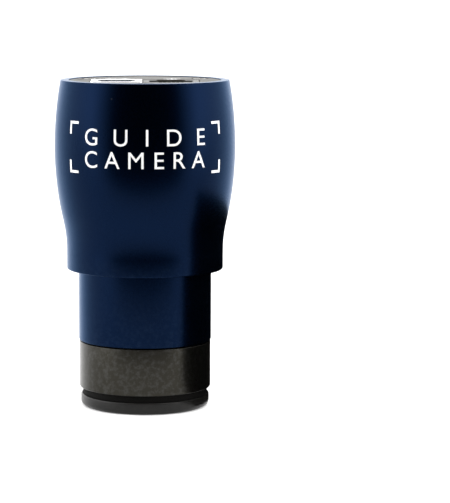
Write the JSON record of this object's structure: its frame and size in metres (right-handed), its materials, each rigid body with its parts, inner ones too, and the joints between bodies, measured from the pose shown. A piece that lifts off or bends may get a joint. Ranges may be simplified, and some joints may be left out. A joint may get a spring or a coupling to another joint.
{
  "type": "guide camera",
  "caption": "Slim guide camera with a swelling round head, a plug-in nose barrel, screw-off nosepiece, dust cap, and a rear panel with a guide jack and a USB socket.",
  "frame": {"origin": "centre of the dust cap's foot, on the surface the camera stands on", "axes": "+Z along the optical axis from the nose to the rear panel, -Y towards the printed front, and the ports on the -Y side of the rear panel"},
  "size_m": [0.043, 0.043, 0.078],
  "materials": {
    "blue_enamel": "satin dark blue over aluminium",
    "black_anodising": "matte black anodised",
    "panel_coat": "fine black powder coat",
    "cap_plastic": "matte black",
    "seal_rubber": "matte",
    "window_glass": "coated clear glass",
    "black_ring": "matte black anodised",
    "foam": "open-cell foam",
    "circuit_board": "green solder mask",
    "chip_plastic": "moulded black",
    "sensor_ceramic": "dark ceramic",
    "silicon": "polished silicon",
    "plated_brass": "nickel-plated brass",
    "stainless_steel": "bright stainless steel",
    "jack_plastic": "moulded black",
    "gold_plating": "gold-plated",
    "shell_steel": "nickel-plated steel sheet",
    "blue_plastic": "moulded blue",
    "tin_ceramic": "ceramic with tin ends",
    "ferrite": "dark ferrite",
    "clear_plastic": "clear moulded plastic",
    "white_plastic": "light diffuser"
  },
  "bodies": {
    "camera": {"barrel": "blue_enamel", "window_seal": "seal_rubber", "window_glass": "window_glass", "window_retainer": "black_ring", "sensor_gasket": "foam", "head_shell": "blue_enamel", "sensor_package": "sensor_ceramic", "sensor_die": "silicon", "sensor_cover_glass": "window_glass", "sensor_board": "circuit_board", "sensor_board_spacers": "plated_brass", "lower_standoffs": "plated_brass", "lower_board_header": "chip_plastic", "lower_board_socket": "chip_plastic", "voltage_regulators": "chip_plastic", "main_board": "circuit_board", "image_processor": "chip_plastic", "memory_chip": "chip_plastic", "power_inductors": "ferrite", "usb_controller": "chip_plastic", "clock_crystals": "stainless_steel", "upper_standoffs": "plated_brass", "upper_board_header": "chip_plastic", "upper_board_socket": "chip_plastic", "interface_board": "circuit_board", "guide_optocouplers": "chip_plastic", "ceramic_capacitors": "tin_ceramic", "status_led": "white_plastic", "light_pipe": "clear_plastic", "rear_standoffs": "plated_brass", "jack_housing": "jack_plastic", "jack_contacts": "gold_plating", "usb_shell": "shell_steel", "usb_insulator": "blue_plastic", "usb_contacts": "gold_plating", "rear_panel": "panel_coat", "panel_screws": "stainless_steel"},
    "seal": {"nose_seal": "seal_rubber"},
    "nosepiece": {"nosepiece": "black_anodising"},
    "cap": {"dust_cap": "cap_plastic"}
  },
  "joints": [
    {"name": "nosepiece_advance", "type": "slide", "parent": "camera", "child": "seal", "axis": [0, 0, -1], "range_m": [0, 0.0046]},
    {"name": "nosepiece_turn", "type": "hinge", "parent": "seal", "child": "nosepiece", "pos_m": [0, 0, 0.0157], "axis": [0, 0, -1], "range_deg": [0, 2160]},
    {"name": "cap_pull", "type": "slide", "parent": "nosepiece", "child": "cap", "axis": [0, 0, -1], "range_m": [0, 0.02]}
  ],
  "couplings": [
    {"joint": "nosepiece_advance", "follows": "nosepiece_turn", "m_per_rad": 0.00011937}
  ]
}
